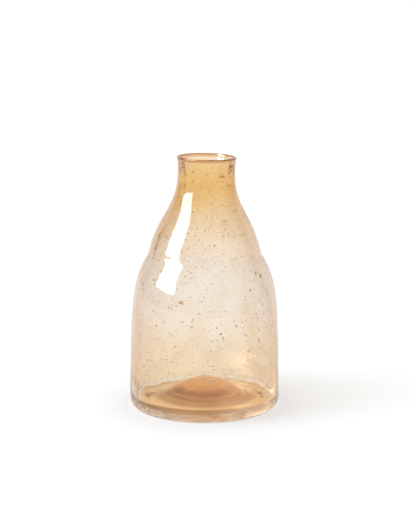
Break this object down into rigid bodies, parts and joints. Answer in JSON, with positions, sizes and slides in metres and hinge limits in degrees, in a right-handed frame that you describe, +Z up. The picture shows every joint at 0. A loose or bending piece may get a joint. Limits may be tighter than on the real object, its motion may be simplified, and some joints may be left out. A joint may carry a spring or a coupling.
{
  "type": "bud vase",
  "caption": "Small hand-blown amber glass bud vase with a straight body, a creased waist, a tapering shoulder and a short neck with a rolled lip.",
  "frame": {"origin": "middle of the foot, on the surface that the vase stands on", "axes": "+Z up along the vase's axis, from the foot to the lip; +X and +Y are free, because the vase is round"},
  "size_m": [0.09, 0.09, 0.15],
  "materials": {
    "neck_glass": "fire-polished clear glass with an amber tint",
    "body_glass": "fire-polished seeded glass with a pale amber tint",
    "base_glass": "thick seeded glass with a deep amber tint, ground lightly by use under the foot"
  },
  "bodies": {
    "root": {"lip": "neck_glass", "neck": "neck_glass", "upper_shoulder": "body_glass", "waist": "body_glass", "lower_shoulder": "body_glass", "body_wall": "body_glass", "heel": "base_glass", "base": "base_glass", "pontil_mark": "base_glass"}
  },
  "joints": []
}
